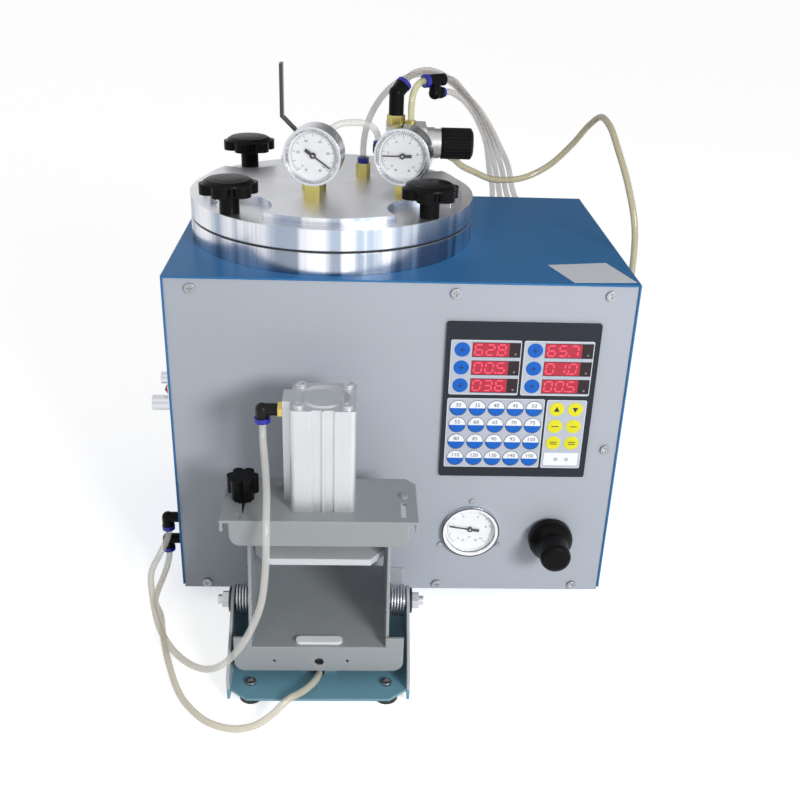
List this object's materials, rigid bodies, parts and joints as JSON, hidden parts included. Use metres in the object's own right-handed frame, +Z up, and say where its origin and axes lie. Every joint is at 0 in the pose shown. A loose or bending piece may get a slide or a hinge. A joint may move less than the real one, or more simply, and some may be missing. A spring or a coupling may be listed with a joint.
{
  "type": "wax injector",
  "caption": "Bench wax injector: cabinet with a bolted pressure pot, digital controller, gauges and a hinged pneumatic mould clamp in front of the nozzle.",
  "frame": {"origin": "on the ground under the centre of the cabinet's plan", "axes": "+X to the right, +Y to the back, +Z up; the front panel faces -Y"},
  "size_m": [0.4489, 0.4734, 0.482],
  "materials": {
    "blue_paint": "semi-gloss blue paint",
    "panel_paint": "satin light grey paint",
    "teal_paint": "semi-gloss teal paint",
    "grey_paint": "semi-gloss grey paint",
    "black_rubber": "matt black rubber",
    "zinc_steel": "zinc plated steel",
    "rod_steel": "hard chromed rod",
    "turned_aluminium": "polished turned aluminium",
    "anodised_aluminium": "satin anodised aluminium",
    "bright_metal": "chromed metal",
    "brass": "machined brass",
    "black_plastic": "moulded black plastic",
    "keypad_film": "printed membrane",
    "display_red": "tinted display window",
    "circuit_board": "green circuit board",
    "clear_lens": "clear lens",
    "needle_black": "black needle",
    "blue_plastic": "blue release collar",
    "white_plastic": "white plastic",
    "red_plastic": "red rocker",
    "lever_vinyl": "plated steel lever",
    "hose_clear": "translucent polyurethane tube"
  },
  "bodies": {
    "cabinet": {"cabinet_shell": "blue_paint", "front_panel": "panel_paint", "back_panel": "panel_paint", "base_pan": "blue_paint", "rubber_feet": "black_rubber", "case_screws": "zinc_steel", "controller_bezel": "black_plastic", "controller_keypad": "keypad_film", "display_windows": "display_red", "control_board": "circuit_board", "wax_pot": "turned_aluminium", "pot_gasket": "black_rubber", "heater_band": "zinc_steel", "valve_block": "anodised_aluminium", "injection_nozzle": "brass", "valve_manifold": "black_plastic", "power_supply": "zinc_steel", "panel_gauge_case": "bright_metal", "panel_gauge_lens": "clear_lens", "panel_regulator": "anodised_aluminium", "power_inlet": "black_plastic", "side_connectors": "bright_metal", "hose_fittings": "black_plastic", "fitting_collars": "blue_plastic", "clamp_base": "teal_paint", "pivot_bolts": "zinc_steel", "torsion_springs": "zinc_steel", "push_cylinder": "anodised_aluminium", "push_hose": "hose_clear", "press_hose": "hose_clear"},
    "swing": {"swing_frame": "grey_paint", "top_plate": "grey_paint", "mould_stop": "white_plastic", "press_cylinder": "anodised_aluminium", "cylinder_elbow": "black_plastic", "cylinder_collar": "blue_plastic", "pivot_bushes": "brass"},
    "press": {"press_rod": "rod_steel", "press_plate": "grey_paint"},
    "push_rod": {"push_rod": "rod_steel"},
    "clamp_knob": {"clamp_knob": "black_plastic"},
    "panel_regulator_knob": {"panel_regulator_knob": "black_plastic"},
    "panel_needle": {"panel_needle": "needle_black"},
    "power_rocker": {"power_rocker": "red_plastic"},
    "lid": {"lid": "turned_aluminium", "lid_brass": "brass", "lid_gauge_cases": "bright_metal", "lid_gauge_lenses": "clear_lens", "lid_regulator": "anodised_aluminium", "lid_fittings": "black_plastic", "lid_collars": "blue_plastic", "lid_hoses": "hose_clear"},
    "lid_knob_fl": {"lid_knob_fl": "black_plastic"},
    "lid_knob_fr": {"lid_knob_fr": "black_plastic"},
    "lid_knob_bl": {"lid_knob_bl": "black_plastic"},
    "lid_knob_br": {"lid_knob_br": "black_plastic"},
    "valve_lever": {"valve_lever": "lever_vinyl"},
    "lid_regulator_knob": {"lid_regulator_knob": "black_plastic"},
    "vacuum_needle": {"vacuum_needle": "needle_black"},
    "pressure_needle": {"pressure_needle": "needle_black"}
  },
  "joints": [
    {"name": "clamp_swing", "type": "hinge", "parent": "cabinet", "child": "swing", "pos_m": [-0.0655, -0.2175, 0.0607], "axis": [-1, 0, 0], "range_deg": [0, 12], "stiffness_Nm_per_rad": 2, "springref_deg": -28.65, "deforming": ["torsion_springs", "press_hose"]},
    {"name": "push_slide", "type": "slide", "parent": "cabinet", "child": "push_rod", "axis": [0, -1, 0], "range_m": [0, 0.0057]},
    {"name": "press_slide", "type": "slide", "parent": "swing", "child": "press", "axis": [0, 0, -1], "range_m": [0, 0.04], "stiffness_N_per_m": 300, "springref_m": -0.05},
    {"name": "clamp_knob_turn", "type": "hinge", "parent": "swing", "child": "clamp_knob", "pos_m": [-0.129, -0.218, 0.164], "axis": [0, 0, 1], "continuous": true},
    {"name": "panel_regulator_turn", "type": "hinge", "parent": "cabinet", "child": "panel_regulator_knob", "pos_m": [0.146, -0.15, 0.077], "axis": [0, -1, 0], "continuous": true},
    {"name": "panel_needle_sweep", "type": "hinge", "parent": "cabinet", "child": "panel_needle", "pos_m": [0.071, -0.1375, 0.0813], "axis": [0, -1, 0], "range_deg": [-216, 54], "stiffness_Nm_per_rad": 0.002},
    {"name": "power_rocker_tilt", "type": "hinge", "parent": "cabinet", "child": "power_rocker", "pos_m": [-0.196, -0.1245, 0.214], "axis": [0, 1, 0], "range_deg": [0, 12]},
    {"name": "lid_lift", "type": "slide", "parent": "cabinet", "child": "lid", "axis": [0, 0, 1], "range_m": [0, 0.15]},
    {"name": "lid_knob_fl_turn", "type": "hinge", "parent": "lid", "child": "lid_knob_fl", "pos_m": [-0.14771, -0.08521, 0.3835], "axis": [0, 0, 1], "continuous": true},
    {"name": "lid_knob_fr_turn", "type": "hinge", "parent": "lid", "child": "lid_knob_fr", "pos_m": [0.02271, -0.08521, 0.3835], "axis": [0, 0, 1], "continuous": true},
    {"name": "lid_knob_bl_turn", "type": "hinge", "parent": "lid", "child": "lid_knob_bl", "pos_m": [-0.14771, 0.08521, 0.3835], "axis": [0, 0, 1], "continuous": true},
    {"name": "lid_knob_br_turn", "type": "hinge", "parent": "lid", "child": "lid_knob_br", "pos_m": [0.02271, 0.08521, 0.3835], "axis": [0, 0, 1], "continuous": true},
    {"name": "valve_lever_turn", "type": "hinge", "parent": "lid", "child": "valve_lever", "pos_m": [-0.092, -0.028, 0.41], "axis": [-1, 0, 0], "range_deg": [0, 90]},
    {"name": "lid_regulator_turn", "type": "hinge", "parent": "lid", "child": "lid_regulator_knob", "pos_m": [0.036, 0, 0.4115], "axis": [1, 0, 0], "continuous": true},
    {"name": "vacuum_needle_sweep", "type": "hinge", "parent": "lid", "child": "vacuum_needle", "pos_m": [-0.0784, -0.0715, 0.412], "axis": [-0.1392, -0.9903, 0], "range_deg": [-10, 260], "stiffness_Nm_per_rad": 0.002},
    {"name": "pressure_needle_sweep", "type": "hinge", "parent": "lid", "child": "pressure_needle", "pos_m": [-0.0013, -0.0475, 0.408], "axis": [-0.2079, -0.9781, 0], "range_deg": [-228, 42], "stiffness_Nm_per_rad": 0.002}
  ],
  "couplings": [
    {"joint": "push_slide", "follows": "clamp_swing", "m_per_rad": 0.027}
  ]
}
